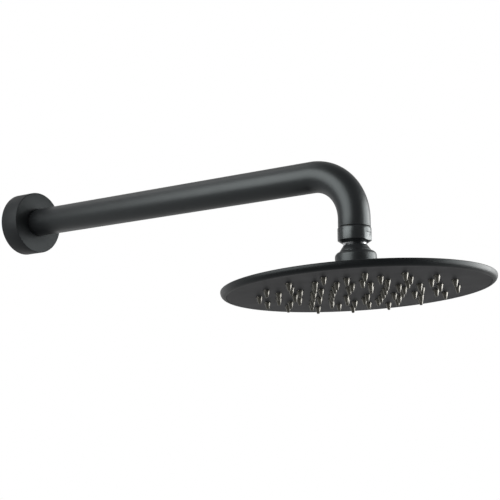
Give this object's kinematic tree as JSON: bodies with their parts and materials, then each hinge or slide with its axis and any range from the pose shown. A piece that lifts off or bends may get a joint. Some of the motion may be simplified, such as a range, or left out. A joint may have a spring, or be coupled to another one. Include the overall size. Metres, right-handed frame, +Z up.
{
  "type": "overhead shower head",
  "caption": "Round overhead shower head on a bent wall arm, with a sliding wall flange, ball joint, slim domed shell and soft conical nozzles",
  "frame": {"origin": "on the arm's axis in the plane of the wall, where the flange's back and the wall thread's axis meet", "axes": "+Z up, the wall is the plane y = 0 with the room on its -Y side, the arm runs out along -Y and the head hangs at its end"},
  "size_m": [0.2, 0.4658, 0.1264],
  "materials": {
    "arm_black": "matte powder coat",
    "nut_black": "matte powder coat",
    "flange_black": "matte powder coat",
    "collar_black": "matte powder coat",
    "hub_black": "matte powder coat",
    "fitting_brass": "machined",
    "screen_steel": "plain",
    "seal_rubber": "smooth",
    "ring_plastic": "smooth",
    "ball_chrome": "polished",
    "regulator_plastic": "smooth",
    "shell_black": "matte lacquer",
    "plate_plastic": "moulded",
    "nozzle_rubber": "smooth satin",
    "face_black": "fine matte"
  },
  "bodies": {
    "arm": {"arm_tube": "arm_black", "inlet_nipple": "fitting_brass", "outlet_nipple": "fitting_brass", "swivel_nut": "nut_black", "filter_screen": "screen_steel"},
    "flange": {"wall_flange": "flange_black", "flange_o_ring": "seal_rubber"},
    "rings": {"friction_ring": "ring_plastic", "packing_ring": "seal_rubber"},
    "head": {"ball_stud": "ball_chrome", "flow_regulator": "regulator_plastic", "stud_collar": "collar_black", "hub": "hub_black", "stud_washer": "seal_rubber", "hub_gasket": "seal_rubber", "hub_lock_nut": "fitting_brass", "top_shell": "shell_black", "rim_gasket": "seal_rubber", "backing_plate": "plate_plastic", "backing_plate_screws": "screen_steel", "nozzle_mat": "nozzle_rubber", "face_plate": "face_black"}
  },
  "joints": [
    {"name": "flange_slide", "type": "slide", "parent": "arm", "child": "flange", "axis": [0, -1, 0], "range_m": [0, 0.29]},
    {"name": "head_swivel", "type": "hinge", "parent": "arm", "child": "rings", "pos_m": [0, -0.35, -0.0515], "axis": [0, 0, 1], "continuous": true},
    {"name": "head_tilt", "type": "hinge", "parent": "rings", "child": "head", "pos_m": [0, -0.35, -0.0515], "axis": [1, 0, 0], "range_deg": [-5.7, 12.3]}
  ]
}
